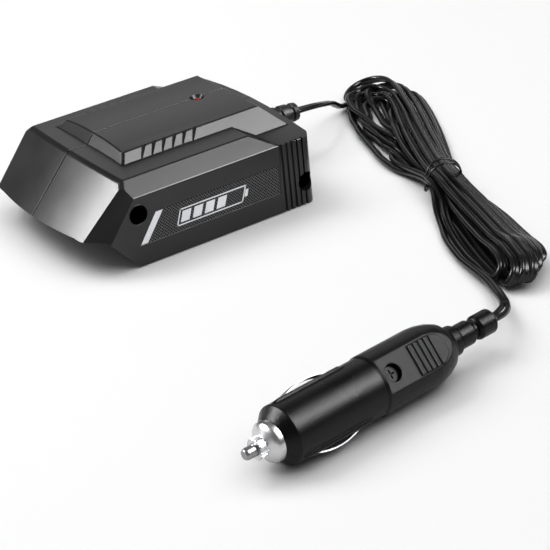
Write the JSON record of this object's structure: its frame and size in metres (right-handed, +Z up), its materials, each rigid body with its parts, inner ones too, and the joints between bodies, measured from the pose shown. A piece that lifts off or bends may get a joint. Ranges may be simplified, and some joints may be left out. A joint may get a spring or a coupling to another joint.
{
  "type": "in-car battery charger",
  "caption": "Slide-on charger for a cordless tool battery, with a tied twin lead ending in a 12 V car socket plug with sprung contacts.",
  "frame": {"origin": "under the middle of the charger's casing, on the surface it stands on; the cord, its hank and its plug lie beside it and are not counted", "axes": "+Z up, -Y towards the sloping nose, +Y towards the cord's gland, +X towards the side that faces the plug"},
  "size_m": [0.2345, 0.22, 0.0378],
  "materials": {
    "casing_black": "satin moulded",
    "label": "gloss printed",
    "steel": "plated",
    "dark_steel": "black oxide",
    "board_green": "solder mask",
    "ferrite": "wound copper and ferrite",
    "capacitor_sleeve": "shrink sleeve",
    "chip_black": "moulded epoxy",
    "heat_sink_alloy": "extruded",
    "led_red": "tinted epoxy",
    "contact_brass": "stamped",
    "wire_red": "PVC insulation",
    "wire_black": "PVC insulation",
    "gland_grey": "soft moulded",
    "cord_black": "glossy PVC",
    "plug_black": "fine spark texture",
    "plated_metal": "nickel plated",
    "fuse_glass": "clear tube with metal caps"
  },
  "bodies": {
    "charger": {"casing_left": "casing_black", "casing_right": "casing_black", "casing_screws": "steel", "label_left": "label", "label_right": "label", "circuit_board": "board_green", "power_inductor": "ferrite", "filter_capacitors": "capacitor_sleeve", "switching_transistor": "chip_black", "heat_sink": "heat_sink_alloy", "control_chip": "chip_black", "rectifier_diode": "chip_black", "status_led": "led_red", "terminal_block": "casing_black", "terminal_blades": "contact_brass", "supply_wire_positive": "wire_red", "supply_wire_negative": "wire_black", "cord_gland": "gland_grey", "cord_casing_end": "cord_black", "cord_hank": "cord_black", "hank_tie": "cord_black", "cord_plug_end": "cord_black", "plug_shell_upper": "plug_black", "plug_shell_lower": "plug_black", "plug_screw": "dark_steel", "plug_spring": "steel", "fuse_terminal": "contact_brass", "plug_wires": "wire_red", "plug_gland": "gland_grey"},
    "nose_ring": {"plug_nose_ring": "plated_metal"},
    "tip_contact": {"plug_tip_contact": "plated_metal", "plug_fuse": "fuse_glass"},
    "side_contact_right": {"side_contact_right": "plated_metal"},
    "side_contact_left": {"side_contact_left": "plated_metal"}
  },
  "joints": [
    {"name": "tip_contact_press", "type": "slide", "parent": "charger", "child": "tip_contact", "axis": [-0.1219, 0.9925, 0], "range_m": [0, 0.003], "stiffness_N_per_m": 1200, "springref_m": -0.001, "deforming": ["plug_spring"]},
    {"name": "side_contact_right_press", "type": "hinge", "parent": "charger", "child": "side_contact_right", "pos_m": [0.18568, -0.03515, 0.00391], "axis": [-0.7603, -0.0934, -0.6428], "range_deg": [0, 7], "stiffness_Nm_per_rad": 0.12, "springref_deg": -2.86},
    {"name": "side_contact_left_press", "type": "hinge", "parent": "charger", "child": "side_contact_left", "pos_m": [0.17471, -0.0365, 0.01709], "axis": [0.7603, 0.0934, 0.6428], "range_deg": [0, 7], "stiffness_Nm_per_rad": 0.12, "springref_deg": -2.86},
    {"name": "nose_ring_turn", "type": "hinge", "parent": "charger", "child": "nose_ring", "pos_m": [0.18428, -0.06907, 0.0105], "axis": [0.1219, -0.9925, 0], "continuous": true}
  ]
}
